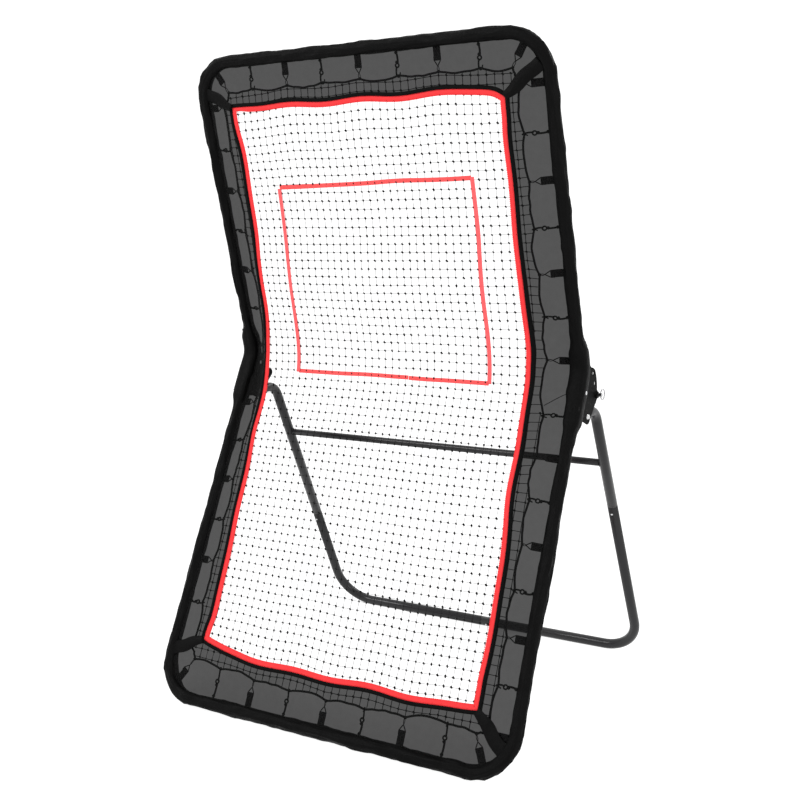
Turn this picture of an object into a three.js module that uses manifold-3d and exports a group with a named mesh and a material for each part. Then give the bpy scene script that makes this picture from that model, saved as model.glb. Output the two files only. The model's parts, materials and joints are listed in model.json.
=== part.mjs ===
// Pitching target net: a V-shaped tubular frame that stands on its lower end and a folding rear stand.
// Millimetres, +Z up, -Y towards the pitcher. The origin is on the floor, at the middle of the footprint.
import * as THREE from 'three';
import { mergeVertices } from 'three/addons/utils/BufferGeometryUtils.js';
import Module from 'manifold-3d';

const wasm = await Module();
wasm.setup();
const degrees = THREE.MathUtils.degToRad;

// ---- Driving dimensions -------------------------------------------------------------------------

// Frame, between tube centre lines
const frameWidth = 1180;
const lowerLength = 1121;             // fold to bottom tube
const upperLength = 962;              // fold to top tube
const lowerTubeStart = 39;            // the side tubes' open ends, from the fold
const upperTubeStart = 18;
const lowerLean = degrees(26.5);      // lower half leans back
const upperLean = degrees(14.5);      // upper half leans forward
const frameCornerRadius = 120;

// Tubes
const tubeRadius = 16;
const tubeWall = 1.5;
const tubeSides = 12;
const crossBarRadius = 11;
const crossBarWall = 1.2;
const insertRadius = 14.2;
const insertWall = 1.4;
const insertLength = 90;
const gap = 0.3;                      // between touching pieces

// Rear stand, behind and below the fold line
const rearReach = 531;                // to the bottom bar
const legBendBack = 112;
const legPivotBack = -8;
const legPivotDrop = 132;
const legCornerRadius = 125;
const legTopBendRadius = 60;
const crossBarDrop = 195;             // below the top bend, along the leg
const legJoint = { left: 560, right: 358 };
const buttonDrop = 24;                // below the joint
const buttonHoleRadius = 3.9;
const buttonProfile = [[0, 11.6], [3.4, 11.6], [3.4, 16.8], [2.2, 18.2], [0, 18.5]];   // radius, height

// Hinge, around the pivot bolt
const pivotDrop = 67;                 // below the fold, along the lower tube
const plateRadius = 108;
const plateThickness = 4;
const plateClearance = 0.8;           // to the tube and to the outer cheek
const plateLobe = 15;                 // round the pivot bolt
const plateTongue = { half: 12, from: 20, to: 85 };   // along the upper tube
const holeCircle = 93;
const firstHoleAngle = degrees(-11);
const lockHoleRadius = 7;
const cheekThickness = 3;
const bracketAroundLeg = 22;
const bracketAroundPin = 15;
const webSpan = [-80, 6];             // of the bracket's front web, along the lower tube
const boltRadius = 4;
const boltHoleRadius = 4.4;
const boltHeadRadius = 8;
const boltHeadTop = 5.5;
const boltHeadHeight = 5;
const nutRadius = 7.5;
const nutHeight = 6.4;
const pinRadius = 6;
const pinBoreRadius = 6.45;
const pinLength = 20.1;
const pinNose = 1.5;
const pinEyeInset = 4;
const pinEyeRadius = 2.7;
const guideRadius = 10;
const guideLength = 5;
const splitRingRadius = 15.9;
const splitRingWire = 1;

// Cover, net and what holds it
const sleeveRadius = 22;
const sleeveInner = 17.2;
const lowerSleeveStart = 155;         // from the fold, clear of the hinge
const upperSleeveStart = 95;
const coverOuter = 562;               // half width at the sleeve
const coverInner = 475;               // half width at the red border
const coverEndInset = 137;            // inner edge of the end panels, from the end tube
const coverLift = 7;                  // in front of the frame's plane
const borderWidth = 25;
const netBend = 1150;                 // radius on which the net rounds the fold
const netRows = 14;
const zoneWidth = 688;
const zoneTop = 576;
const zoneBottom = 59;
const ribbonWidth = 13;
const ribbonLift = 3.2;               // border and ribbon in front of the net
const ropeRadius = 3.2;
const ropeInset = 87;                 // in from the tube centre line
const ropeCornerRadius = 20;
const ropeStart = 14;                 // from the fold
const strapHalf = 12.5;
const cordHalf = 2.5;
const endTieSpacing = 130;

// What differs between the halves. The net stands a lift in front of the frame between full and held,
// and is back in its plane at gone. The ties stand at even spacings along the sides.
const halves = {
  lower: { sign: -1, length: lowerLength, sleeveStart: lowerSleeveStart, lift: 33, full: 300, held: 300,
    gone: 850, firstTie: 141, tieSpacing: 124, tieCount: 8, firstIsStrap: false, endName: 'bottom' },
  upper: { sign: 1, length: upperLength, sleeveStart: upperSleeveStart, lift: 28, full: 380, held: 680,
    gone: 962, firstTie: 27, tieSpacing: 132.7, tieCount: 7, firstIsStrap: true, endName: 'top' },
};

// ---- Places worked out from them ----------------------------------------------------------------

const halfWidth = frameWidth / 2;
const flatShare = Math.cos(Math.PI / tubeSides);   // flat-to-centre over corner-to-centre
const frontTubeHeight = sleeveRadius * flatShare;
const rearBarHeight = tubeRadius * flatShare;
const foldHeight = frontTubeHeight + lowerLength * Math.cos(lowerLean);
const frontReach = lowerLength * Math.sin(lowerLean);
const foldBack = (frontReach + sleeveRadius - rearReach - tubeRadius) / 2;
const legLean = Math.atan2(rearReach - legBendBack, foldHeight - legPivotDrop - rearBarHeight);
const legLength = (rearReach - legBendBack) / Math.sin(legLean);
const foldAngle = lowerLean + upperLean;
const netTangent = netBend * Math.tan(foldAngle / 2);
const netEnd = netTangent - netBend * Math.sin(foldAngle / 2) + 4;

// Hinge stack along X: inner cheek, tube, toothed plate, outer cheek
const innerCheek = [halfWidth - tubeRadius - gap - cheekThickness, halfWidth - tubeRadius - gap];
const plateFrom = halfWidth + tubeRadius + plateClearance;
const plateSpan = [plateFrom, plateFrom + plateThickness];
const outerCheek = [plateSpan[1] + plateClearance, plateSpan[1] + plateClearance + cheekThickness];
const webDepth = tubeRadius + gap + cheekThickness;

// Points of the hinge in the side view, from the pivot bolt: x back, y up
function onHoleCircle(angle) {
  return new THREE.Vector2(Math.cos(angle), Math.sin(angle)).multiplyScalar(holeCircle);
}
const lockPin = onHoleCircle(firstHoleAngle);
const legPivot = new THREE.Vector2(
  legPivotBack + pivotDrop * Math.sin(lowerLean), -legPivotDrop + pivotDrop * Math.cos(lowerLean));

// ---- Materials ----------------------------------------------------------------------------------

function material(color, roughness, metalness) {
  return new THREE.MeshStandardMaterial({ color, roughness, metalness });
}
const powderCoat = material(0x3a3a3d, 0.35, 0.4);
const blackSteel = material(0x1b1b1c, 0.45, 0.4);
const zincSteel = material(0xb8bbc0, 0.25, 1);
const chrome = material(0xdddddd, 0.1, 1);
const sleeveFabric = material(0x141415, 0.9, 0);
const meshFabric = material(0x4a4a4c, 0.9, 0);
const netting = material(0x202022, 0.8, 0);
const redWebbing = material(0xf02a2e, 0.8, 0);
const blackWebbing = material(0x101011, 0.85, 0);

// ---- Geometry helpers ---------------------------------------------------------------------------

// A route of straight runs joined by round bends. Its stations are where a swept section is placed.
class BentRoute extends THREE.Curve {
  constructor(corners, bendRadius = 0, bendSteps = 6) {
    super();
    this.stations = [];
    const heading = (i) => corners[i + 1].clone().sub(corners[i]).normalize();
    const last = corners.length - 1;
    this.addStation(corners[0], heading(0));
    for (let i = 1; i < last; i++) {
      this.addBend(corners[i], heading(i - 1), heading(i), bendRadius, bendSteps);
    }
    this.addStation(corners[last], heading(last - 1));
  }

  addStation(point, tangent) {
    this.stations.push({ point: point.clone(), tangent: tangent.clone() });
  }

  addBend(corner, before, after, radius, steps) {
    const turn = before.angleTo(after);
    const inward = after.clone().addScaledVector(before, -before.dot(after)).normalize();
    const start = corner.clone().addScaledVector(before, -radius * Math.tan(turn / 2));
    const centre = start.clone().addScaledVector(inward, radius);
    for (let i = 0; i <= steps; i++) {
      const angle = turn * i / steps;
      const point = centre.clone()
        .addScaledVector(inward, -radius * Math.cos(angle))
        .addScaledVector(before, radius * Math.sin(angle));
      const tangent = before.clone()
        .multiplyScalar(Math.cos(angle))
        .addScaledVector(inward, Math.sin(angle));
      this.addStation(point, tangent);
    }
  }

  station(u) {
    return this.stations[Math.round(u * (this.stations.length - 1))];
  }

  getPointAt(u, target = new THREE.Vector3()) {
    return target.copy(this.station(u).point);
  }

  getTangentAt(u, target = new THREE.Vector3()) {
    return target.copy(this.station(u).tangent);
  }
}

// Corners of a regular polygon, with a flat facing the given angle
function polygon(radius, facing = 0, sides = tubeSides) {
  const step = 2 * Math.PI / sides;
  return Array.from({ length: sides }, (_, i) => {
    const angle = facing + (i + 0.5) * step;
    return new THREE.Vector2(radius * Math.cos(angle), radius * Math.sin(angle));
  });
}

function tubeSection(outer, inner, facing) {
  const section = new THREE.Shape(polygon(outer, facing));
  section.holes.push(new THREE.Path(polygon(inner, facing)));
  return section;
}

function sweep(section, route) {
  return new THREE.ExtrudeGeometry(section, {
    extrudePath: route, steps: route.stations.length - 1, bevelEnabled: false });
}

function extrude(shape, depth) {
  return new THREE.ExtrudeGeometry(shape, { depth, bevelEnabled: false, curveSegments: 10 });
}

// A box between two corners, with rows of points along Y so that it can be bent
function slab(low, high, rows = 1) {
  const size = high.map((value, i) => value - low[i]);
  const box = new THREE.BoxGeometry(...size, 1, rows, 1);
  return box.translate(...low.map((value, i) => value + size[i] / 2));
}

// A rod along local Z between two distances, at a point of the side view
function crossRod(radius, from, to, at = new THREE.Vector2(), sides = 16, endRadius = radius) {
  const rod = new THREE.CylinderGeometry(endRadius, radius, to - from, sides);
  return rod.rotateX(Math.PI / 2).translate(at.x, at.y, (from + to) / 2);
}

function solidOf(geometry) {
  const bare = geometry.clone();
  bare.deleteAttribute('normal');
  bare.deleteAttribute('uv');
  const merged = mergeVertices(bare, 1e-4);
  return new wasm.Manifold(new wasm.Mesh({
    numProp: 3,
    vertProperties: Float32Array.from(merged.attributes.position.array),
    triVerts: Uint32Array.from(merged.index.array),
  }));
}

function geometryOf(solid) {
  const mesh = solid.getMesh();
  const geometry = new THREE.BufferGeometry();
  geometry.setAttribute('position', new THREE.BufferAttribute(mesh.vertProperties, 3));
  geometry.setIndex(new THREE.BufferAttribute(mesh.triVerts, 1));
  return geometry;
}

function join(first, ...others) {
  return geometryOf(others.reduce((solid, other) => solid.add(solidOf(other)), solidOf(first)));
}

function cut(first, ...tools) {
  return geometryOf(tools.reduce((solid, tool) => solid.subtract(solidOf(tool)), solidOf(first)));
}

// How far the net stands in front of the frame at a distance from the fold: round over the fold, then
// held off the frame by its own tension
function bow(distance, half) {
  const left = Math.max(0, netTangent - distance);
  const round = netBend - Math.sqrt(netBend ** 2 - left ** 2);
  const risen = THREE.MathUtils.smoothstep(distance, 0, half.full);
  const fallen = THREE.MathUtils.smoothstep(distance, half.held, half.gone);
  return round + half.lift * risen * (1 - fallen);
}

// Lifts a soft panel forward with the net, fully inside the red border and not at all at the sleeve
function bowForward(geometry, half) {
  const position = geometry.attributes.position;
  for (let i = 0; i < position.count; i++) {
    const share = (coverOuter - Math.abs(position.getX(i))) / (coverOuter - coverInner);
    const lift = bow(Math.abs(position.getY(i)), half) * THREE.MathUtils.clamp(share, 0, 1);
    position.setZ(i, position.getZ(i) + lift);
  }
  return geometry;
}

// ---- Frames of reference ------------------------------------------------------------------------

const model = new THREE.Group();
const sides = [['left', -1], ['right', 1]];

// Panel groups start at the fold: x across, y up the panel, z to the front
function panelGroup(tilt, back, height) {
  const group = new THREE.Group();
  group.position.set(0, back, height);
  group.rotation.x = Math.PI / 2 + tilt;
  model.add(group);
  return group;
}

const lower = panelGroup(-lowerLean, foldBack, foldHeight);
const upper = panelGroup(upperLean, foldBack, foldHeight);
const stand = panelGroup(legLean, foldBack + rearReach, rearBarHeight);

// Hinge group at the pivot bolt: x back, y up, z along +X
const hinge = new THREE.Group();
hinge.position.set(
  0, foldBack - pivotDrop * Math.sin(lowerLean), foldHeight - pivotDrop * Math.cos(lowerLean));
hinge.quaternion.setFromRotationMatrix(new THREE.Matrix4().makeBasis(
  new THREE.Vector3(0, 1, 0), new THREE.Vector3(0, 0, 1), new THREE.Vector3(1, 0, 0)));
model.add(hinge);

function add(group, name, geometry, look) {
  const mesh = new THREE.Mesh(geometry, look);
  mesh.name = name;
  group.add(mesh);
}

const point = (x, y, z = 0) => new THREE.Vector3(x, y, z);

// The stand's own coordinates of a point given back from and below the fold line
function standPoint(x, back, drop) {
  const dy = back - rearReach;
  const dz = foldHeight - drop - rearBarHeight;
  const along = dz * Math.cos(legLean) - dy * Math.sin(legLean);
  return point(x, along, -dy * Math.cos(legLean) - dz * Math.sin(legLean));
}

// A drill along X through a panel group's tube
function drillX(x, y, z, radius) {
  return new THREE.CylinderGeometry(radius, radius, 60, 16).rotateZ(Math.PI / 2).translate(x, y, z);
}

// ---- Frame tubes --------------------------------------------------------------------------------

// One half of a U-shaped frame: up the side from its open end, round the corner, to the middle of the end
function halfFrame(side, openEnd, end, outer, inner, stop, facing = 0) {
  const corners = [point(side * halfWidth, openEnd), point(side * halfWidth, end), point(side * stop, end)];
  return sweep(tubeSection(outer, inner, facing), new BentRoute(corners, frameCornerRadius));
}

function tubeInsert(from, to) {
  return sweep(tubeSection(insertRadius, insertRadius - insertWall, 0), new BentRoute([from, to]));
}

const tubeBore = tubeRadius - tubeWall;
for (const [label, side] of sides) {
  const lowerTube = halfFrame(side, -lowerTubeStart, -lowerLength, tubeRadius, tubeBore, gap / 2);
  const boltDrill = drillX(side * halfWidth, -pivotDrop, 0, boltHoleRadius);
  add(lower, `lower_${label}_tube`, cut(lowerTube, boltDrill), powderCoat);
  const upperTube = halfFrame(side, upperTubeStart, upperLength, tubeRadius, tubeBore, gap / 2);
  add(upper, `upper_${label}_tube`, upperTube, powderCoat);
}
const insertHalf = insertLength / 2;
for (const [group, name, end] of [[lower, 'lower', -lowerLength], [upper, 'upper', upperLength]]) {
  const insert = tubeInsert(point(-insertHalf, end), point(insertHalf, end));
  add(group, `${name}_tube_insert`, insert, zincSteel);
}

// ---- Rear stand ---------------------------------------------------------------------------------

// The hole that a snap button stands in, square to the front of a tube
function buttonHole(x, y) {
  const drill = new THREE.CylinderGeometry(buttonHoleRadius, buttonHoleRadius, 20, 12);
  return drill.rotateX(Math.PI / 2).translate(x, y, 15);
}

function snapButton(x, y) {
  const button = new THREE.LatheGeometry(buttonProfile.map(([r, h]) => new THREE.Vector2(r, h)), 10);
  return button.rotateX(Math.PI / 2).translate(x, y, 0);
}

const standFacing = Math.PI / 2 + legLean;
for (const [label, side] of sides) {
  const x = side * halfWidth;
  const jointAt = legLength - legJoint[label];
  const legEnd = standPoint(x, legPivotBack - tubeRadius, legPivotDrop);
  const bend = point(x, legLength);
  const section = tubeSection(tubeRadius, tubeRadius - tubeWall, side * standFacing);
  const top = sweep(section, new BentRoute([legEnd, bend, point(x, jointAt + gap / 2)], legTopBendRadius));
  const pivot = standPoint(x, legPivotBack, legPivotDrop);
  add(stand, `leg_upper_${label}`, cut(top, drillX(x, pivot.y, pivot.z, boltHoleRadius)), powderCoat);

  const corners = [point(x, jointAt - gap / 2), point(x, 0), point(side * gap / 2, 0)];
  const barButton = side > 0 ? [buttonHole(buttonDrop, 0)] : [];
  const foot = sweep(section, new BentRoute(corners, legCornerRadius, 7));
  const drilledFoot = cut(foot, buttonHole(x, jointAt - buttonDrop), ...barButton);
  add(stand, `leg_lower_${label}`, drilledFoot, powderCoat);

  const insert = tubeInsert(point(x, jointAt - insertHalf), point(x, jointAt + insertHalf));
  add(stand, `leg_insert_${label}`, cut(insert, buttonHole(x, jointAt - buttonDrop)), zincSteel);
  add(stand, `snap_button_${label}`, snapButton(x, jointAt - buttonDrop), zincSteel);
}
const barInsert = tubeInsert(point(-insertHalf, 0), point(insertHalf, 0));
add(stand, 'bar_insert', cut(barInsert, buttonHole(buttonDrop, 0)), zincSteel);
add(stand, 'snap_button_bar', snapButton(buttonDrop, 0), zincSteel);

const crossBarEnd = halfWidth - tubeRadius - gap;
const crossBarAt = legLength - crossBarDrop;
const crossBarRoute = new BentRoute([point(-crossBarEnd, crossBarAt), point(crossBarEnd, crossBarAt)]);
const crossBarSection = tubeSection(crossBarRadius, crossBarRadius - crossBarWall, 0);
add(stand, 'cross_bar', sweep(crossBarSection, crossBarRoute), powderCoat);

// ---- Hinge hardware -----------------------------------------------------------------------------

// A point of the side view given square to and along the lower tube
function besideTube(outward, along) {
  return new THREE.Vector2(outward * Math.cos(lowerLean) + along * Math.sin(lowerLean),
    along * Math.cos(lowerLean) - outward * Math.sin(lowerLean));
}

// The two cheeks and front web that wrap the lower tube
function bracket() {
  const [webLow, webHigh] = webSpan;
  const outline = new THREE.Shape([besideTube(-webDepth, webHigh), besideTube(-webDepth, webLow)]);
  outline.absarc(legPivot.x, legPivot.y, bracketAroundLeg, degrees(-100), degrees(-25), false);
  outline.absarc(lockPin.x, lockPin.y, bracketAroundPin, degrees(-25), degrees(80), false);
  const body = extrude(outline, outerCheek[1] - innerCheek[0]).translate(0, 0, innerCheek[0]);
  const throat = new THREE.BoxGeometry(400, 400, outerCheek[0] - innerCheek[1]);
  throat.translate(200 - tubeRadius - gap, 0, (outerCheek[0] + innerCheek[1]) / 2).rotateZ(-lowerLean);
  const drill = (radius, at, from) => crossRod(radius, from, outerCheek[1] + 5, at);
  return cut(body, throat, drill(boltHoleRadius, new THREE.Vector2(), innerCheek[0] - 5),
    drill(boltHoleRadius, legPivot, innerCheek[0] - 5), drill(pinBoreRadius, lockPin, outerCheek[0] - 5));
}

// The plate on the upper tube's end, with a row of lock holes on an arc round the pivot bolt
function lockPlate() {
  const fold = besideTube(0, pivotDrop);
  const besideUpper = (outward, along) => new THREE.Vector2(
    fold.x + outward * Math.cos(upperLean) - along * Math.sin(upperLean),
    fold.y + along * Math.cos(upperLean) + outward * Math.sin(upperLean));
  const outline = new THREE.Shape();
  outline.absarc(0, 0, plateLobe, degrees(180), degrees(290), false);
  outline.absarc(0, 0, plateRadius, degrees(-24), degrees(28), false);
  outline.quadraticCurveTo(88, 62, 62, 66);
  const { half, from, to } = plateTongue;
  for (const [outward, along] of [[half, from + 5], [half, to], [-half, to], [-half, from]]) {
    const { x, y } = besideUpper(outward, along);
    outline.lineTo(x, y);
  }
  const plate = extrude(outline, plateThickness).translate(0, 0, plateSpan[0]);
  const lockHoles = [0, 1, 2].map((i) => {
    const at = onHoleCircle(firstHoleAngle + i * foldAngle / 2);
    return crossRod(lockHoleRadius, plateSpan[0] - 5, plateSpan[1] + 5, at);
  });
  return cut(plate, crossRod(boltHoleRadius, plateSpan[0] - 5, plateSpan[1] + 5), ...lockHoles);
}

function bolt(at) {
  const seat = outerCheek[1] + gap;
  const shank = crossRod(boltRadius, innerCheek[0] - gap - nutHeight, seat + 1, at, 12);
  const head = crossRod(boltHeadRadius, seat, seat + boltHeadHeight, at, 12, boltHeadTop);
  return join(shank, head);
}

function nut(at) {
  const hexagon = new THREE.Shape(polygon(nutRadius, 0, 6));
  hexagon.holes.push(new THREE.Path(polygon(boltHoleRadius, 0, 12)));
  return extrude(hexagon, nutHeight).translate(at.x, at.y, innerCheek[0] - gap - nutHeight);
}

function pinGuide() {
  const from = outerCheek[1] + gap;
  return cut(crossRod(guideRadius, from, from + guideLength, lockPin),
    crossRod(pinBoreRadius, from - 5, from + guideLength + 5, lockPin));
}

// The pin is drawn back, so that its tip is just clear of the plate
const pinTip = outerCheek[0] + gap;
const eyeAt = pinTip + pinLength - pinEyeInset;
function pin() {
  const eye = new THREE.CylinderGeometry(pinEyeRadius, pinEyeRadius, 30, 12);
  eye.translate(lockPin.x, lockPin.y, eyeAt);
  const nose = crossRod(pinRadius - pinNose, pinTip, pinTip + pinNose, lockPin, 16, pinRadius);
  return cut(join(crossRod(pinRadius, pinTip + pinNose, pinTip + pinLength, lockPin), nose), eye);
}

function splitRing() {
  const ring = new THREE.TorusGeometry(splitRingRadius, splitRingWire, 6, 20);
  return ring.translate(lockPin.x + splitRingRadius, lockPin.y, eyeAt);
}

// Both sides carry the same hardware, mirrored about the middle plane
function mirrored(geometry, side) {
  const solid = solidOf(geometry);
  return geometryOf(side > 0 ? solid : solid.mirror([0, 0, 1]));
}

for (const [label, side] of sides) {
  add(hinge, `hinge_bracket_${label}`, mirrored(bracket(), side), blackSteel);
  add(hinge, `lock_plate_${label}`, mirrored(lockPlate(), side), blackSteel);
  add(hinge, `pivot_bolt_${label}`, mirrored(bolt(new THREE.Vector2()), side), zincSteel);
  add(hinge, `pivot_nut_${label}`, mirrored(nut(new THREE.Vector2()), side), zincSteel);
  add(hinge, `leg_bolt_${label}`, mirrored(bolt(legPivot), side), zincSteel);
  add(hinge, `leg_nut_${label}`, mirrored(nut(legPivot), side), zincSteel);
  add(hinge, `pin_guide_${label}`, mirrored(pinGuide(), side), blackSteel);
  add(hinge, `lock_pin_${label}`, mirrored(pin(), side), chrome);
  add(hinge, `split_ring_${label}`, mirrored(splitRing(), side), chrome);
}

// ---- Sleeves, cover panels, net, border and suspension ------------------------------------------

// Fabric sleeves round the tubes, each with a flat side down
function addSleeves(group, name, half, lean) {
  const end = half.sign * half.length;
  const facing = Math.PI / 2 + lean;
  const runHalf = halfWidth - frameCornerRadius - 5;
  const endRun = new BentRoute([point(-runHalf + gap, end), point(runHalf - gap, end)]);
  const endSleeve = sweep(tubeSection(sleeveRadius, sleeveInner, -facing), endRun);
  add(group, `${name}_sleeve_${half.endName}`, endSleeve, sleeveFabric);
  for (const [label, side] of sides) {
    const start = half.sign * half.sleeveStart;
    const sleeve = halfFrame(side, start, end, sleeveRadius, sleeveInner, runHalf, side * facing);
    add(group, `${name}_sleeve_${label}`, sleeve, sleeveFabric);
  }
}

// Mesh cover panels, mitred at the corners and round where they follow the tubes
function addCovers(group, name, half) {
  const panelPoint = (x, distance) => new THREE.Vector2(x, half.sign * distance);
  const cornerX = halfWidth - frameCornerRadius;
  const cornerY = half.length - frameCornerRadius;
  const reach = coverOuter - cornerX;
  const cornerArc = (side, angles) => angles.map(degrees).map((angle) => panelPoint(
    side * (cornerX + reach * Math.cos(angle)), cornerY + reach * Math.sin(angle)));
  const mitre = half.length - coverEndInset;
  const panel = (outline) =>
    bowForward(extrude(new THREE.Shape(outline), 1).translate(0, 0, coverLift), half);
  add(group, `${name}_cover_${half.endName}`, panel([
    ...cornerArc(-1, [46, 60, 75, 90]), ...cornerArc(1, [90, 75, 60, 46]),
    panelPoint(coverInner - 1, mitre), panelPoint(1 - coverInner, mitre)]), meshFabric);
  const run = (from, to) => Array.from({ length: netRows + 1 },
    (_, i) => THREE.MathUtils.lerp(from, to, i / netRows));
  for (const [label, side] of sides) {
    add(group, `${name}_cover_${label}`, panel([
      ...run(6, cornerY).map((distance) => panelPoint(side * coverOuter, distance)),
      ...cornerArc(side, [15, 30, 44]),
      ...run(mitre - 1, netEnd).map((distance) => panelPoint(side * coverInner, distance))]), meshFabric);
  }
}

// The net, and in front of it the red webbing on its edge and the strike zone ribbon
function addNet(group, name, half) {
  const span = (from, to) => [half.sign * from, half.sign * to].sort((a, b) => a - b);
  const netHalf = coverInner - 1;
  const netFar = half.length - coverEndInset - 1;
  const [netLow, netHigh] = span(netEnd, netFar);
  add(group, `${name}_net`,
    bowForward(slab([-netHalf, netLow, -1], [netHalf, netHigh, 1], netRows), half), netting);
  const strip = (x0, x1, from, to, thickness, rows = 1) => {
    const [low, high] = span(from, to);
    return bowForward(slab([x0, low, ribbonLift], [x1, high, ribbonLift + thickness], rows), half);
  };
  const borderIn = netHalf - borderWidth;
  add(group, `${name}_red_border`, join(
    strip(-netHalf, -borderIn, netEnd, netFar, 1.2, netRows),
    strip(borderIn, netHalf, netEnd, netFar, 1.2, netRows),
    strip(-netHalf, netHalf, netFar - borderWidth, netFar, 1.2)), redWebbing);
  const zoneEnd = half.sign > 0 ? zoneTop : zoneBottom + ribbonWidth;
  const zoneHalf = zoneWidth / 2;
  const zoneRows = half.sign > 0 ? 6 : 1;
  add(group, `${name}_strike_ribbon`, join(
    strip(-zoneHalf, -zoneHalf + ribbonWidth, netEnd, zoneEnd, 1, zoneRows),
    strip(zoneHalf - ribbonWidth, zoneHalf, netEnd, zoneEnd, 1, zoneRows),
    strip(-zoneHalf, zoneHalf, zoneEnd - ribbonWidth, zoneEnd, 1)), redWebbing);
}

// The edge rope, with the elastic straps and cords that pull it to the tubes
function addSuspension(group, name, half) {
  const ropeX = halfWidth - ropeInset;
  const ropeEnd = half.sign * (half.length - ropeInset);
  const start = half.sign * ropeStart;
  const route = new BentRoute(
    [point(-ropeX, start), point(-ropeX, ropeEnd), point(ropeX, ropeEnd), point(ropeX, start)],
    ropeCornerRadius, 4);
  const ties = [];
  const addTie = (alongX, alongY, isStrap) => {
    const [x0, x1] = alongX.sort((a, b) => a - b);
    const [y0, y1] = alongY.sort((a, b) => a - b);
    const thickness = isStrap ? 1 : 2;
    ties.push(slab([x0, y0, -thickness], [x1, y1, thickness]));
  };
  const reachOf = (isStrap) => (isStrap ? strapHalf : cordHalf);
  for (let i = 0; i < half.tieCount; i++) {
    const isStrap = (i % 2 === 0) === half.firstIsStrap;
    const reach = reachOf(isStrap);
    const y = half.sign * (half.firstTie + half.tieSpacing * i);
    for (const [, side] of sides) {
      addTie([side * ropeX, side * coverOuter], [y - reach, y + reach], isStrap);
    }
  }
  const tubeEdge = half.sign * (half.length - halfWidth + coverOuter);
  for (let i = -3; i <= 3; i++) {
    const isStrap = i % 2 === 0;
    const reach = reachOf(isStrap);
    addTie([i * endTieSpacing - reach, i * endTieSpacing + reach], [ropeEnd, tubeEdge], isStrap);
  }
  const rope = sweep(new THREE.Shape(polygon(ropeRadius, 0, 6)), route);
  add(group, `${name}_suspension`, join(rope, ...ties), blackWebbing);
}

for (const [group, name, lean] of [[lower, 'lower', -lowerLean], [upper, 'upper', upperLean]]) {
  addSleeves(group, name, halves[name], lean);
  addCovers(group, name, halves[name]);
  addNet(group, name, halves[name]);
  addSuspension(group, name, halves[name]);
}

export default model;
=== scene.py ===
import json
import math
import random

import bpy
import numpy as np
from mathutils import Matrix, Vector, noise


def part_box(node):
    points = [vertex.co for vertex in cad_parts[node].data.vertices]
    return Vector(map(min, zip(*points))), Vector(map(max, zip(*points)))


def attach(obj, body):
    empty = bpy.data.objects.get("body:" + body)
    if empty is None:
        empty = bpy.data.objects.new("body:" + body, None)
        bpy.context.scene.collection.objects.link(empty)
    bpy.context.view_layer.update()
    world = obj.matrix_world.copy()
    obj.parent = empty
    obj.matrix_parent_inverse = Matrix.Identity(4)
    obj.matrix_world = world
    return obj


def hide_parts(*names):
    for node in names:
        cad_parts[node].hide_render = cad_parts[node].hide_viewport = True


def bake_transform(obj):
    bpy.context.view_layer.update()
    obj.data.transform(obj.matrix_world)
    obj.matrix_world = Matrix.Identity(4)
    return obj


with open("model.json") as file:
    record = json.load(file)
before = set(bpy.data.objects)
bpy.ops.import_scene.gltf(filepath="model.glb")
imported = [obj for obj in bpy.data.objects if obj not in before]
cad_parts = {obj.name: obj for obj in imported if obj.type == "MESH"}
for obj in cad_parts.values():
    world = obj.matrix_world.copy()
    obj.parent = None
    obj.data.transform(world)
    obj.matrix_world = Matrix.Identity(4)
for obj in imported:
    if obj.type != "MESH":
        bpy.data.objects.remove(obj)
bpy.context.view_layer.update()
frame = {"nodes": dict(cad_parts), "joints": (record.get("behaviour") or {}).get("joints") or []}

random.seed(7)

# ---- Driving dimensions, in metres, the frame's repeated from the CAD model ----
# Places on the cover and net are given as x across, s up the frame from the fold (negative on the
# lower half), and lift to the front.

LOWER_LEAN = math.radians(26.5)
UPPER_LEAN = math.radians(14.5)
FOLD_ANGLE = LOWER_LEAN + UPPER_LEAN
HALF_WIDTH = 0.590
LOWER_LENGTH = 1.121
UPPER_LENGTH = 0.962
CORNER_RADIUS = 0.120
PIVOT_DROP = 0.067
TUBE_RADIUS = 0.016
TUBE_WALL = 0.0015
SLEEVE_RADIUS = 0.0168
SLEEVE_SLACK = 0.0015        # further from the tube on its inner side, where the cover is sewn on
SLEEVE_BEND = 0.07           # radius on which the fabric rounds the fold at the tubes
NET_BEND = 1.15              # and on which the net rounds it
HINGE_OUT = 0.0285           # the sleeve widens round the hinge: outwards, inwards and to the front
HINGE_IN = 0.0225
HINGE_FRONT = 0.0235
PIVOT_BULGE = 0.0070         # and further over the inner end of the pivot bolt
FLAP_BULGE = 0.0050          # and on the inner side, where it folds over itself
FOLD_HEIGHT = 0.0046         # the sleeve's unevenness
CREASE_HEIGHT = 0.0034
RIPPLE_HEIGHT = 0.0018
LUMP_HEIGHT = 0.0080
BULGE_HEIGHT = 0.0040
COVER_OUTER = 0.562
COVER_INNER = 0.475
BORDER_HALF = 0.462
BORDER_TOP = 0.818
BORDER_BOTTOM = 0.975
BORDER_WIDTH = 0.020
BINDING_WIDTH = 0.007
HEM_REACH = BORDER_WIDTH / 2 + 0.004         # the cover is sewn on this far from the border's middle
CELL_WIDE = 0.0246
CELL_HIGH = 0.0273
END_CELL_HIGH = 0.0254       # the net is less stretched towards its ends
TWINE_RADIUS = 0.0005
DOUBLED_TWINE_RADIUS = 0.0011        # outside the border the twine is doubled
KNOT_LENGTH = 0.0041         # half of a knot's length, and its radius
KNOT_RADIUS = 0.0030
ROPE_GAP = 0.006             # no knot is closer than this to the rope
ROPE_RADIUS = 0.0031
STRAP_WIDTH = 0.023
STRAP_SHARE = 0.54           # of a tie's length that is strap, before its triangle and cords
RING_WIRE = 0.0016           # radii of the small hardware and cords
LOOP_CORD = 0.0011
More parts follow.
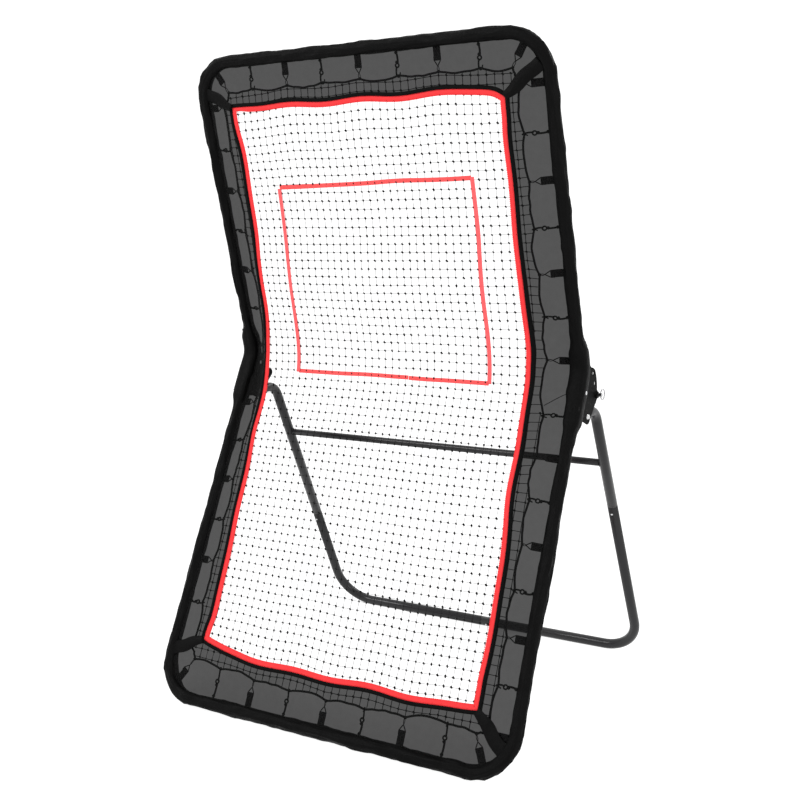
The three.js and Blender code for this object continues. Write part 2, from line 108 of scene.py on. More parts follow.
BUNGEE_CORD = 0.0029
HOOK_WIRE = 0.0023
DRAWSTRING = 0.0011

# Ties: first distance from the fold, spacing, count, and whether the first is a strap
SIDE_TIES = {
    ("right", 1): (0.027, 0.1327, 7, True),
    ("left", 1): (0.027, 0.1327, 7, True),
    ("right", -1): (0.141, 0.1255, 8, False),
    ("left", -1): (0.178, 0.132, 7, True),
}
END_TIE_SPACING = 0.130
LOWER_WAVE = (0.2665, 0.1285)        # first strap and spacing that the border's lower half waves to
# Corner places as (sign of x, sign of s): the red border's corners, the far ends of the mitre bands,
# and the corner straps from the rope to the sleeve
BORDER_CORNERS = {(-1, 1): (-0.468, 0.817), (1, 1): (0.455, 0.790),
                  (-1, -1): (-0.473, -0.939), (1, -1): (0.464, -0.962)}
MITRE_ENDS = {(-1, 1): (-0.566, 0.872), (1, 1): (0.554, 0.865),
              (-1, -1): (-0.571, -0.985), (1, -1): (0.562, -1.050)}
CORNER_TIES = {(-1, 1): (-0.485, 0.868, -0.525, 0.932), (1, 1): (0.485, 0.868, 0.525, 0.932),
               (-1, -1): (-0.496, -1.006, -0.540, -1.080), (1, -1): (0.477, -1.024, 0.511, -1.096)}
ROPE_CORNER = 0.476          # the rope turns the corner from this distance across

PIVOT = next(Vector(joint["pos_m"]) for joint in frame["joints"] if joint["name"] == "upper_tilt")
FOLD_Y = PIVOT.y + PIVOT_DROP * math.sin(LOWER_LEAN)
FOLD_Z = PIVOT.z + PIVOT_DROP * math.cos(LOWER_LEAN)


# ---- The surface that everything soft lies on ----

def smooth(value, low, high):
    t = np.clip((np.asarray(value, float) - low) / (high - low), 0, 1)
    return t * t * (3 - 2 * t)


def net_lift(x, s):
    """How far the net's tension holds it off the frame, away from the fold."""
    upper = 0.028 * smooth(s, 0, 0.38) * (1 - smooth(s, 0.68, 0.962))
    lower = 0.033 * smooth(-s, 0, 0.30) * (1 - smooth(-s, 0.30, 0.85))
    middle = 1 - 0.6 * np.clip(np.abs(x) / COVER_INNER, 0, 1) ** 4
    return upper + lower + 0.032 * middle * np.exp(-((s - 0.23) / 0.20) ** 2)


def on_panel(x, s, lift=0.0):
    """Points in the row frame, as an (n, 3) array."""
    x, s, lift = np.broadcast_arrays(np.asarray(x, float), np.asarray(s, float), np.asarray(lift, float))
    share = np.clip((COVER_OUTER - np.abs(x)) / (COVER_OUTER - COVER_INNER), 0, 1)
    bend = SLEEVE_BEND + share * (NET_BEND - SLEEVE_BEND)
    reach = bend * math.tan(FOLD_ANGLE / 2)
    lean = (UPPER_LEAN - LOWER_LEAN) / 2 + np.clip(s / reach, -1, 1) * FOLD_ANGLE / 2
    past = np.sign(s) * np.maximum(np.abs(s) - reach, 0)
    front = lift + share * net_lift(x, s)
    centre_y = FOLD_Y - reach * math.sin(UPPER_LEAN) - bend * math.cos(UPPER_LEAN)
    centre_z = FOLD_Z + reach * math.cos(UPPER_LEAN) - bend * math.sin(UPPER_LEAN)
    y = centre_y + (bend - front) * np.cos(lean) - past * np.sin(lean)
    z = centre_z + (bend - front) * np.sin(lean) + past * np.cos(lean)
    return np.stack([x, y, z], axis=-1)


BLEND_START = Vector(on_panel(HALF_WIDTH, -0.09))
BLEND_END = Vector(on_panel(HALF_WIDTH, 0.04))


# ---- Mesh helpers ----

class Mesh:
    """Collects points and faces of one object."""

    def __init__(self):
        self.points = []
        self.faces = []
        self.count = 0

    def add(self, points, faces):
        points = np.asarray(points, float).reshape(-1, 3)
        self.points.append(points)
        self.faces.extend([tuple(int(i) + self.count for i in face) for face in faces])
        self.count += len(points)

    def build(self, name, material, smooth_shade=True):
        data = bpy.data.meshes.new(name)
        data.from_pydata(np.concatenate(self.points).tolist(), [], self.faces)
        data.validate()
        data.materials.append(material)
        if smooth_shade:
            data.shade_smooth()
        piece = bpy.data.objects.new(name, data)
        bpy.context.scene.collection.objects.link(piece)
        return piece


def grid_faces(rows, columns, close_rows=False, close_columns=False):
    faces = []
    for i in range(rows if close_rows else rows - 1):
        for j in range(columns if close_columns else columns - 1):
            k, m = (i + 1) % rows, (j + 1) % columns
            faces.append((i * columns + j, k * columns + j, k * columns + m, i * columns + m))
    return faces


def full_turn(count):
    """Equal steps of angle all the way round."""
    return np.arange(count) * 2 * math.pi / count


def caps(rows, columns):
    return [tuple(range(columns)), tuple(range(rows * columns - 1, (rows - 1) * columns - 1, -1))]


def outward_normals(path, closed):
    """Sideways directions of a flat polyline, lengthened where it turns, as a mitre needs."""
    path = np.asarray(path, float)
    tangents = headings(path, closed)
    ahead = np.roll(path, -1, axis=0) - path
    if not closed:
        ahead[-1] = path[-1] - path[-2]
    ahead /= np.maximum(np.linalg.norm(ahead, axis=1), 1e-12)[:, None]
    stretch = 1 / np.maximum((ahead * tangents).sum(axis=1), 0.6)
    return np.stack([tangents[:, 1], -tangents[:, 0]], axis=1) * stretch[:, None]


def headings(path, closed):
    """Unit tangents of a polyline."""
    path = np.asarray(path, float)
    if closed:
        back = path - np.roll(path, 1, axis=0)
        back /= np.maximum(np.linalg.norm(back, axis=1), 1e-12)[:, None]
        tangents = back + np.roll(back, -1, axis=0)
    else:
        tangents = np.gradient(path, axis=0)
    return tangents / np.maximum(np.linalg.norm(tangents, axis=1), 1e-12)[:, None]


def leftwards(start, end):
    """Unit vector to the left of the way from start to end."""
    x, s = (end - start) / np.linalg.norm(end - start)
    return np.array([-s, x])


def panel_sweep(mesh, path, profile, closed=False):
    """Sweeps a closed profile of (across, lift) points along a path of (x, s) points.
    profile may be one list, or one list for each station."""
    path = np.asarray(path, float)
    outward = outward_normals(path, closed)
    profile = np.asarray(profile, float)
    if profile.ndim == 2:
        profile = np.broadcast_to(profile, (len(path), *profile.shape))
    x = path[:, None, 0] + outward[:, None, 0] * profile[:, :, 0]
    s = path[:, None, 1] + outward[:, None, 1] * profile[:, :, 0]
    points = on_panel(x, s, profile[:, :, 1])
    rows, columns = points.shape[:2]
    faces = grid_faces(rows, columns, close_rows=closed, close_columns=True)
    mesh.add(points, faces if closed else faces + caps(rows, columns))


def strip_profile(width, low, high, crown=0.0003):
    """The section of a flat woven tape with soft edges."""
    half, edge, middle = width / 2, min(width * 0.08, 0.0012), (low + high) / 2
    return [(-half, middle), (-half + edge, high), (0, high + crown), (half - edge, high),
            (half, middle), (half - edge, low), (0, low), (-half + edge, low)]


def round_sections(stations, sides):
    """A ring of points for each (point, tangent, radius), turned as little as possible between them."""
    across = np.cross(stations[0][1], (0.31, 0.87, 0.38))
    angles = full_turn(sides)
    rings = []
    for point, tangent, size in stations:
        across = across - tangent * across.dot(tangent)
        across /= np.linalg.norm(across)
        other = np.cross(tangent, across)
        rings.append(point + size * (np.cos(angles)[:, None] * across + np.sin(angles)[:, None] * other))
    return rings


def tube(mesh, path, radius, sides=8, closed=False):
    """A round cord along points in the row frame. radius may be one value or one for each point."""
    path = np.asarray(path, float)
    radius = np.broadcast_to(radius, (len(path),))
    rings = round_sections(list(zip(path, headings(path, closed), radius)), sides)
    faces = grid_faces(len(rings), sides, close_rows=closed, close_columns=True)
    mesh.add(rings, faces if closed else faces + caps(len(rings), sides))


def panel_tube(mesh, path, lift, *shape, **closing):
    """A round cord along (x, s) points, at a lift."""
    path = np.asarray(path, float)
    tube(mesh, on_panel(path[:, 0], path[:, 1], lift), *shape, **closing)


def smooth_line(points, steps):
    """A smooth line through points (Catmull-Rom)."""
    points = np.asarray(points, float)
    padded = np.concatenate([[2 * points[0] - points[1]], points, [2 * points[-1] - points[-2]]])
    line = []
    for a, b, c, d in zip(padded, padded[1:], padded[2:], padded[3:]):
        for t in np.arange(steps) / steps:
            line.append(0.5 * (2 * b + (c - a) * t + (2 * a - 5 * b + 4 * c - d) * t * t
                               + (3 * b - a - 3 * c + d) * t ** 3))
    line.append(points[-1])
    return np.array(line)


def soft(mesh, name, slot, *nodes, look=None, smooth_shade=True, thickness=0.0):
    """A fabric piece that runs across the fold, in place of its CAD nodes."""
    piece = mesh.build(name, MATERIALS[look or slot], smooth_shade)
    if thickness:
        thicken = piece.modifiers.new("thickness", "SOLIDIFY")
        thicken.thickness = thickness
        thicken.offset = -1
    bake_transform(piece)
    if nodes:
        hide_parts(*nodes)
    return piece


def rigid(mesh, name, body, slot, *nodes):
    """A stiff piece that rides on one body, in place of its CAD nodes."""
    piece = mesh.build(name, MATERIALS[slot])
    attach(piece, body)
    if nodes:
        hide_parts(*nodes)


# ---- Materials ----

WAVE_PITCH = 0.3142          # distance between the bands of a wave texture whose scale is 1


def grey(level):
    return (level, level, level)


class Look:
    """A Principled material with helpers for its node tree."""

    def __init__(self, name, color, roughness, metallic=0.0, **inputs):
        self.material = bpy.data.materials.new(name)
        self.material.use_nodes = True
        self.tree = self.material.node_tree
        self.shader = self.tree.nodes["Principled BSDF"]
        self.shader.inputs["Base Color"].default_value = (*color, 1)
        self.shader.inputs["Roughness"].default_value = roughness
        self.shader.inputs["Metallic"].default_value = metallic
        for key, value in inputs.items():
            self.shader.inputs[key.replace("_", " ")].default_value = value
        self.place = self.node("ShaderNodeTexCoord").outputs["Object"]

    def node(self, kind, **settings):
        made = self.tree.nodes.new(kind)
        for key, value in settings.items():
            label = key.replace("_", " ")
            if label in made.inputs:
                made.inputs[label].default_value = value
            else:
                setattr(made, key, value)
        return made

    def link(self, output, target):
        self.tree.links.new(output, target)

    def noise(self, scale, detail, stretch=None):
        made = self.node("ShaderNodeTexNoise", Scale=scale, Detail=detail)
        place = self.place
        if stretch:
            mapping = self.node("ShaderNodeMapping", Scale=stretch)
            self.link(place, mapping.inputs["Vector"])
            place = mapping.outputs["Vector"]
        self.link(place, made.inputs["Vector"])
        return made.outputs["Fac"]

    def waves(self, scale, direction):
        made = self.node("ShaderNodeTexWave", wave_type="BANDS", bands_direction=direction,
                         Scale=scale, Distortion=0.6, Detail=1)
        self.link(self.place, made.inputs["Vector"])
        return made.outputs["Fac"]

    def mix_color(self, fac, low, high):
        made = self.node("ShaderNodeMix", data_type="RGBA")
        made.inputs["A"].default_value = (*low, 1)
        made.inputs["B"].default_value = (*high, 1)
        self.link(fac, made.inputs["Factor"])
        self.link(made.outputs["Result"], self.shader.inputs["Base Color"])

    def map_range(self, value, **limits):
        made = self.node("ShaderNodeMapRange", **limits)
        self.link(value, made.inputs["Value"])
        return made.outputs["Result"]

    def vary_roughness(self, fac, low, high):
        self.link(self.map_range(fac, To_Min=low, To_Max=high), self.shader.inputs["Roughness"])

    def let_through(self, share, kind, **inputs):
        """Mixes in another shader. share may be a value or an output."""
        other = self.node(kind, **inputs)
        mix = self.node("ShaderNodeMixShader")
        if isinstance(share, float):
            mix.inputs["Fac"].default_value = share
        else:
            self.link(share, mix.inputs["Fac"])
        self.link(self.shader.outputs["BSDF"], mix.inputs[1])
        self.link(other.outputs["BSDF"], mix.inputs[2])
        self.link(mix.outputs["Shader"], self.tree.nodes["Material Output"].inputs["Surface"])

    def bump(self, height, distance, strength=1.0):
        made = self.node("ShaderNodeBump", Distance=distance, Strength=strength)
        self.link(height, made.inputs["Height"])
        previous = self.shader.inputs["Normal"].links
        if previous:
            self.link(previous[0].from_socket, made.inputs["Normal"])
        self.link(made.outputs["Normal"], self.shader.inputs["Normal"])


def weave(look, pitch, depth):
    """Bump of a plain weave whose threads are a pitch apart."""
    crossing = look.node("ShaderNodeMath", operation="MULTIPLY")
    for direction, target in zip("XZ", crossing.inputs):
        look.link(look.waves(WAVE_PITCH / pitch, direction), target)
    look.bump(crossing.outputs[0], depth, 0.8)


def powder_coat():
    look = Look("powder_coat", (0.014, 0.014, 0.015), 0.3, Coat_Weight=0.12, Coat_Roughness=0.06,
                Specular_IOR_Level=0.2)
    look.mix_color(look.noise(9, 4), (0.011, 0.011, 0.012), (0.018, 0.018, 0.019))
    look.vary_roughness(look.noise(45, 5), 0.22, 0.4)
    look.bump(look.noise(900, 2), 0.00012, 0.5)
    look.bump(look.noise(60, 2), 0.0003, 0.25)
    return look.material


def black_steel():
    look = Look("black_steel", grey(0.004), 0.42, Specular_IOR_Level=0.012)
    worn = look.map_range(look.noise(180, 6), From_Min=0.60, From_Max=0.80)
    look.mix_color(worn, grey(0.004), grey(0.05))
    look.vary_roughness(look.noise(120, 5), 0.32, 0.55)
    look.bump(look.noise(1400, 2), 0.0001, 0.5)
    return look.material


def zinc_steel():
    look = Look("zinc_steel", (0.62, 0.63, 0.64), 0.3, 1.0)
    look.mix_color(look.noise(160, 4), (0.5, 0.51, 0.53), (0.72, 0.72, 0.71))
    look.vary_roughness(look.noise(500, 5), 0.18, 0.42)
    look.bump(look.noise(2500, 2), 0.00005, 0.4)
    return look.material


def chrome():
    look = Look("chrome", (0.46, 0.46, 0.47), 0.1, 1.0)
    look.vary_roughness(look.noise(300, 6), 0.05, 0.2)
    look.bump(look.noise(700, 3), 0.00003, 0.3)
    return look.material


def sleeve_fabric():
    look = Look("sleeve_fabric", grey(0.002), 0.5, Specular_IOR_Level=0.05)
    look.mix_color(look.noise(14, 6), grey(0.0012), grey(0.0032))
    look.vary_roughness(look.noise(35, 6), 0.30, 0.6)
    look.bump(look.noise(55, 5), 0.0026, 0.8)
    look.bump(look.noise(22, 4, (1, 1, 0.3)), 0.006, 0.8)
    weave(look, 0.0011, 0.0002)
    return look.material


def mesh_fabric():
    """Fine open mesh: dark yarn that lets a little of the light straight through its holes."""
    look = Look("mesh_fabric", grey(0.003), 0.85, Specular_IOR_Level=0.08)
    weave(look, 0.0016, 0.0004)
    look.vary_roughness(look.noise(200, 4), 0.7, 0.95)
    open_share = look.map_range(look.noise(60, 5), To_Min=0.062, To_Max=0.076)
    look.let_through(open_share, "ShaderNodeBsdfTransparent")
    return look.material


def netting():
    look = Look("netting", grey(0.004), 0.6, Specular_IOR_Level=0.1)
    look.mix_color(look.noise(70, 4), grey(0.002), grey(0.006))
    look.bump(look.waves(260, "DIAGONAL"), 0.0003, 0.7)
    look.bump(look.noise(2500, 3), 0.0001, 0.5)
    return look.material


def webbing(name, dark, light, translucent=0.0, gloss=0.2):
    """Woven tape, with ribs across it and a little colour variation along it."""
    look = Look(name, light, 0.7, Specular_IOR_Level=gloss)
    look.mix_color(look.noise(90, 6), dark, light)
    look.vary_roughness(look.noise(400, 4), 0.55, 0.8)
    weave(look, 0.0016, 0.0003)
    look.bump(look.noise(40, 3), 0.001, 0.3)
    if translucent:
        look.let_through(translucent, "ShaderNodeBsdfTranslucent", Color=(*light, 1))
    return look.material


def pale_floor():
    look = Look("pale_floor", grey(0.2), 0.8, Emission_Color=(1, 1, 1, 1), Emission_Strength=0.93)
    look.bump(look.noise(30, 3), 0.0005, 0.1)
    return look.material


WEBBINGS = {
    "red_webbing": {"dark": (0.72, 0.024, 0.028), "light": (0.84, 0.038, 0.042)},
    # The strike reds are partly painted light: they are lighter than the border's red to hold light shining
    # through the ribbon from behind, on top of the real translucency.
    "strike_webbing": {"dark": (0.90, 0.08, 0.08), "light": (1.0, 0.14, 0.14), "translucent": 0.3},
    "strike_side_webbing": {"dark": (0.92, 0.13, 0.14), "light": (1.0, 0.20, 0.21), "translucent": 0.4},
    "black_webbing": {"dark": grey(0.001), "light": grey(0.004), "gloss": 0.05},
}
MATERIALS = {name: webbing(name, **settings) for name, settings in WEBBINGS.items()}
for make in (powder_coat, black_steel, zinc_steel, chrome, sleeve_fabric, mesh_fabric, netting):
    MATERIALS[make.__name__] = make()


# ---- Camera, light and floor ----

CAMERA_PLACE = (1.771, -3.010, 1.455)
CAMERA_AZIMUTH = math.radians(30.2)
CAMERA_DIP = math.radians(5.0)
CAMERA_ROLL = -0.014
# Name, place, target, size and power of each lamp
LAMPS = [
    ("key_light", (-2.4, -3.2, 3.8), (0, 0, 1.0), (1.6, 1.6), 100),
    ("fill_light", (3.6, -1.6, 2.6), (0, 0, 1.0), (0.8, 2.6), 50),
    ("back_light", (1.2, 3.4, 3.6), (0, 0.2, 0.8), (2.4, 0.8), 45),
    ("backdrop_light", (-1.4, 2.6, 5.5), (-2.2, 6.0, 1.5), (8.0, 1.5), 40),
]


def camera():
    data = bpy.data.cameras.new("camera")
    data.lens = 50.35
    data.shift_x = -0.0125
    data.shift_y = -0.10
    made = bpy.data.objects.new("camera", data)
    aim = Matrix.Rotation(CAMERA_AZIMUTH, 4, "Z") @ Matrix.Rotation(math.pi / 2 - CAMERA_DIP, 4, "X")
    made.matrix_world = Matrix.Translation(CAMERA_PLACE) @ aim @ Matrix.Rotation(CAMERA_ROLL, 4, "Z")
    bpy.context.scene.collection.objects.link(made)
    bpy.context.scene.camera = made


def area_light(name, place, target, size, power):
    data = bpy.data.lights.new(name, "AREA")
    data.shape = "RECTANGLE"
    data.size, data.size_y = size
    data.energy = power
    made = bpy.data.objects.new(name, data)
    made.location = place
    made.rotation_euler = (Vector(target) - Vector(place)).to_track_quat("-Z", "Y").to_euler()
    bpy.context.scene.collection.objects.link(made)


def studio():
    for lamp in LAMPS:
        area_light(*lamp)
    world = bpy.data.worlds.new("studio_world")
    world.use_nodes = True
    background = world.node_tree.nodes["Background"]
    background.inputs["Color"].default_value = (1, 1, 1, 1)
    bpy.context.scene.world = world
    bpy.context.scene.view_settings.view_transform = "Standard"


def floor():
    """A pale sweep: flat under the object, curving up behind it."""
    profile = [(-9.0, 0.0), (3.5, 0.0)]
    curve = np.linspace(0.1, math.pi / 2, 14)
    profile += [(3.5 + 2.5 * math.sin(a), 2.5 - 2.5 * math.cos(a)) for a in curve]
    profile.append((6.0, 8.0))
    mesh = Mesh()
    points = [(x, y, z) for y, z in profile for x in (-12.0, 12.0)]
    mesh.add(points, [(i, i + 1, i + 3, i + 2) for i in range(0, len(points) - 2, 2)])
    mesh.build("floor", pale_floor())


# ---- Paths round the frame ----

def rounded_loop(half_width, top, bottom, radius, step=0.006):
    """(x, s) points of a rounded rectangle, anticlockwise from the middle of the bottom."""
    corners = [((1, -1), bottom), ((1, 1), top), ((-1, 1), top), ((-1, -1), bottom)]
    points = []

    def run(start, end):
        start, end = np.array(start, float), np.array(end, float)
        count = max(2, int(np.linalg.norm(end - start) / step))
        points.extend((start + (end - start) * i / count).tolist() for i in range(count))

    turns = 12 if radius else 0
    place = (0, -bottom)
    for ((sx, sy), reach), first in zip(corners, (-90, 0, 90, 180)):
        centre = (sx * (half_width - radius), sy * (reach - radius))
        sweep = [math.radians(first + 90 * i / max(turns, 1)) for i in range(turns + 1)]
        arc = [(centre[0] + radius * math.cos(a), centre[1] + radius * math.sin(a)) for a in sweep]
        run(place, arc[0])
        points.extend(arc[:-1])
        place = arc[-1]
    run(place, (0, -bottom))
    return np.array(points)


def side_ties(label, sign):
    """(s, is a strap) for each tie on one side of one half."""
    first, spacing, count, first_is_strap = SIDE_TIES[label, sign]
    return [(sign * (first + spacing * i), (i % 2 == 0) == first_is_strap) for i in range(count)]


def strap_wave(along, first, spacing):
    """1 at the straps and -1 between them."""
    return np.cos(math.pi * (along - first) / spacing)


def border_path():
    """The red border's centre line: wavy, pulled out where a strap holds it, with square corners."""
    half, top, bottom = BORDER_HALF, BORDER_TOP, BORDER_BOTTOM
    path = rounded_loop(half, top, bottom, 0)
    x, s = path.T.copy()
    nearness = np.clip(np.abs(x) / half, 0, 1)
    side = smooth(nearness, 0.9, 1.0) * np.sign(x)
    fade = smooth(top - s, 0, 0.1) * smooth(s + bottom, 0, 0.1)
    wave = np.where(s > 0, strap_wave(s, *SIDE_TIES["right", 1][:2]), strap_wave(-s, *LOWER_WAVE))
    widen = np.interp(s, [-0.90, -0.30, 0.05, 0.30, 0.80], [0.006, 0.001, 0.003, -0.006, -0.008])
    uneven = np.array([noise.noise(Vector((4 * p[0], 4 * p[1], 3))) for p in path])
    moved_x = side * (widen + fade * (0.002 * wave + 0.008 * uneven))
    at_top, at_bottom = s > top - 1e-6, s < 1e-6 - bottom
    across = strap_wave(x, 0, END_TIE_SPACING)
    inner = 1 - nearness ** 5
    moved_s = inner * (at_top * (0.0035 * across + 0.003 * uneven)
                       - at_bottom * (0.003 * across + 0.003 * uneven))
    for (sx, sy), corner in BORDER_CORNERS.items():
        end = top if sy > 0 else bottom
        close = (np.sign(x) == sx) * smooth(sy * s, end - 0.14, end)
        reach = np.array(corner) - (sx * half, sy * end)
        moved_x = moved_x + close * (side * sx) * (reach[0] - sx * widen)
        moved_s = moved_s + close * nearness ** (12 if sy > 0 else 5.5) * reach[1]
    return np.stack([x + moved_x, s + moved_s], axis=1)


def offset_path(path, distance):
    return path + distance * outward_normals(path, True)


BORDER = border_path()
BORDER_LIFT = 0.003


def rope_anchors():
    """Where the ties hold the edge rope, anticlockwise: (x, s, foot x, foot s, is a strap)."""
    foot_side = COVER_OUTER + 0.008

    def end(sign, count=3):
        places = []
        for i in range(-count, count + 1):
            x = i * END_TIE_SPACING
            reach = 0.875 if sign > 0 else 1.034 - 0.016 * (i / count) ** 2
            foot = (UPPER_LENGTH if sign > 0 else LOWER_LENGTH) - 0.020
            places.append((x, sign * reach, x, sign * foot, i % 2 == 0))
        return [(*CORNER_TIES[-1, sign], True)] + places + [(*CORNER_TIES[1, sign], True)]

    def side(label):
        sign = 1 if label == "right" else -1
        places = side_ties(label, -1)[::-1] + side_ties(label, 1)
        outward = 0.010 if label == "left" else 0.0
        rope = [outward + float(np.interp(s, [-0.4, 0.0, 0.4], [0.514, 0.509, 0.504])) for s, _ in places]
        return [(sign * r, s, sign * foot_side, s, strap) for r, (s, strap) in zip(rope, places)]

    return end(-1) + side("right") + end(1)[::-1] + side("left")[::-1]


ANCHORS = rope_anchors()
ROPE_LIFT = -0.001


def rope_path():
    """The scalloped edge rope as (x, s) points: it sags inwards between the ties."""
    points = []
    for i, ((x0, s0, *_), (x1, s1, *_)) in enumerate(zip(ANCHORS, ANCHORS[1:] + ANCHORS[:1])):
        start, end = np.array([x0, s0]), np.array([x1, s1])
        span = np.linalg.norm(end - start)
        inward = leftwards(start, end)
        sag = (0.055 + 0.025 * math.sin(2.4 * i)) * span + 0.001
        for t in np.arange(12) / 12:
            wobble = 0.0012 * math.sin(2 * math.pi * t * (1 + i % 3) + i) * math.sin(math.pi * t)
            points.append(start + (end - start) * t + inward * (sag * 4 * t * (1 - t) + wobble))
    return np.array(points)


ROPE = rope_path()


# ---- Sleeve ----

def fabric_sleeve():
    """Loose black fabric sleeve round both U frames, open at the back of the hinges."""
    path = rounded_loop(HALF_WIDTH, UPPER_LENGTH, LOWER_LENGTH, CORNER_RADIUS, step=0.007)
    tangents = headings(path, True)
    outward = np.stack([tangents[:, 1], -tangents[:, 0]], axis=1)
    sides = 40
    angles = full_turn(sides)
    profiles = np.zeros((len(path), sides, 2))
    for i, (x, s) in enumerate(path):
        hinge = float(smooth(s, -0.195, -0.155) * (1 - smooth(s, 0.055, 0.10))) * (abs(x) > 0.5)
        corner = min(math.hypot(abs(x) - HALF_WIDTH + 0.03, s - UPPER_LENGTH + 0.03),
                     math.hypot(abs(x) - HALF_WIDTH + 0.03, s + LOWER_LENGTH - 0.03))
        loose = 1 + 0.4 * max(0.0, 1 - corner / 0.16)
        place = Vector((x, s, 0))
        bulge = max(0.0, noise.noise(place * 6.5 + Vector((0, 0, 9))) - 0.15)
        for j, angle in enumerate(angles):
            out, up = math.cos(angle), math.sin(angle)
            around = Vector((outward[i][0] * out, outward[i][1] * out, up))
            folds = noise.noise(place * 5.5 + around * 1.55)
            creases = max(0.0, 0.5 - 2.2 * abs(noise.noise(place * 7.0 + around * 3.4 + Vector((3, 1, 7)))))
            ripples = noise.noise(place * 30.0 + around * 1.3 + Vector((5, 5, 5)))
            lumps = max(0.0, noise.noise(place * 11.0 + around * 0.7 + Vector((2, 8, 1))) - 0.2)
            radius = (SLEEVE_RADIUS + SLEEVE_SLACK * max(0.0, -out)
                      + loose * (FOLD_HEIGHT * max(0.0, folds - 0.08) + CREASE_HEIGHT * creases
                                 + RIPPLE_HEIGHT * ripples + LUMP_HEIGHT * lumps)
                      + BULGE_HEIGHT * bulge * max(0.0, out))
            radius = max(radius, SLEEVE_RADIUS)
            pivot = PIVOT_BULGE * math.exp(-((s + PIVOT_DROP) / 0.024) ** 2)
            flap = FLAP_BULGE * float(smooth(s, -0.10, -0.06) * (1 - smooth(s, 0.05, 0.08)))
            wide = HINGE_OUT + 0.2 * pivot if out > 0 else HINGE_IN + max(pivot, flap)
            boxy = ((abs(out) / wide) ** 3.2 + (abs(up) / HINGE_FRONT) ** 3.2) ** (-1 / 3.2)
            radius += hinge * (boxy + 0.0015 * folds - radius)
            profiles[i, j] = (radius * out, radius * up)
    mesh = Mesh()
    panel_sweep(mesh, path, profiles, closed=True)
    opened = []
    for face in mesh.faces:
        row, column = divmod(face[0], sides)
        x, s = path[row]
        behind = -0.2 < math.cos(angles[column]) < 0.98 and math.sin(angles[column]) < -0.35
        if not (abs(x) > 0.55 and -0.150 < s < 0.07 and behind):
            opened.append(face)
    mesh.faces = opened
    piece = soft(mesh, "fabric_sleeve", "sleeve_fabric",
                 "lower_sleeve_bottom", "lower_sleeve_left", "lower_sleeve_right",
                 "upper_sleeve_top", "upper_sleeve_left", "upper_sleeve_right", thickness=0.0006)


# ---- Mesh cover ----

SIDES = {"bottom": ((-1, -1), (1, -1)), "right": ((1, -1), (1, 1)),
         "top": ((1, 1), (-1, 1)), "left": ((-1, 1), (-1, -1))}


def along_side(loop, corners, side):
    """The stretch of an anticlockwise loop along one side, between the points nearest two corners."""
    start, end = (int(np.argmin(np.linalg.norm(loop - corners[key], axis=1))) for key in SIDES[side])
    return np.roll(loop, -start, axis=0)[:(end - start) % len(loop) + 1]


def resample(points, count):
    points = np.asarray(points, float)
    along = np.concatenate([[0], np.cumsum(np.linalg.norm(np.diff(points, axis=0), axis=1))])
    at = np.linspace(0, along[-1], count)
    return np.stack([np.interp(at, along, points[:, k]) for k in range(2)], axis=1)


def cover_panel(name, inner, outer, nodes, count):
    """A stretched mesh panel between the red border and the sleeve."""
    inner, outer = resample(inner, count), resample(outer, count)
    points = []
    shares = np.linspace(0, 1, 13)
    for start, end in zip(inner, outer):
        for share in shares:
            x, s = start + (end - start) * share
            pucker = noise.noise(Vector((x * 34, s * 34, 1))) * 0.0016 * (1 - share)
            sway = noise.noise(Vector((x * 7, s * 7, 5))) * 0.002 * math.sin(math.pi * share)
            points.append((x, s, 0.0045 + 0.003 * share + pucker + sway))
    mesh = Mesh()
    mesh.add(on_panel(*np.array(points).T), grid_faces(count, len(shares)))
    piece = soft(mesh, name, "mesh_fabric", *nodes)


def mesh_cover():
    hem = offset_path(BORDER, HEM_REACH)
    seam = rounded_loop(HALF_WIDTH, UPPER_LENGTH, LOWER_LENGTH, CORNER_RADIUS)
    seam = offset_path(seam, -0.014)
    for side in SIDES:
        halves = {"top": ["upper"], "bottom": ["lower"]}.get(side, ["lower", "upper"])
        inner = along_side(hem, BORDER_CORNERS, side)
        outer = along_side(seam, MITRE_ENDS, side)
        cover_panel(f"mesh_cover_{side}", inner, outer, [f"{half}_cover_{side}" for half in halves],
                    150 * len(halves))


def mitre_bands():
    """Black bands over the mitred corners of the cover. The one at the lower right has a fold in it."""
    mesh = Mesh()
    for (sx, sy), corner in BORDER_CORNERS.items():
        start = np.array(corner) + (0.006 * sx, 0.006 * sy)
        end = np.array(MITRE_ENDS[sx, sy])
        end = end + (end - start) * 0.020 / np.linalg.norm(end - start)
        folded = (sx, sy) == (1, -1)
        path, profiles = [], []
        for t in np.linspace(0, 1, 20):
            bow = 0.003 * math.sin(2.6 * math.pi * t + sx + 2 * sy) * math.sin(math.pi * t)
            path.append(start + (end - start) * t + leftwards(start, end) * bow)
            fold = 0.004 * math.exp(-((t - 0.28) / 0.07) ** 2) if folded else 0.0
            lift = 0.0078 + 0.0025 * t + 0.0022 * math.sin(math.pi * t)
            width = 0.024 + 0.015 * float(smooth(t, 0.0, 0.45))
            profiles.append(strip_profile(width, lift, lift + 0.0016, 0.0012 + fold))
        panel_sweep(mesh, path, profiles)
    soft(mesh, "mitre_bands", "sleeve_fabric")


# ---- Net, border and strike zone ----

def rope_at_side(s, sign):
    """x of the rope at a height on one side."""
    side = ROPE[sign * ROPE[:, 0] > 0.487]
    side = side[np.argsort(side[:, 1])]
    return np.interp(s, side[:, 1], side[:, 0])


def rope_at_end(x, sign):
    """s of the rope at a place across one end."""
    end = ROPE[sign * ROPE[:, 1] > (0.85 if sign > 0 else 0.995)]
    end = end[np.abs(end[:, 0]) < ROPE_CORNER + 0.001]
    end = end[np.argsort(end[:, 0])]
    return np.interp(x, end[:, 0], end[:, 1])


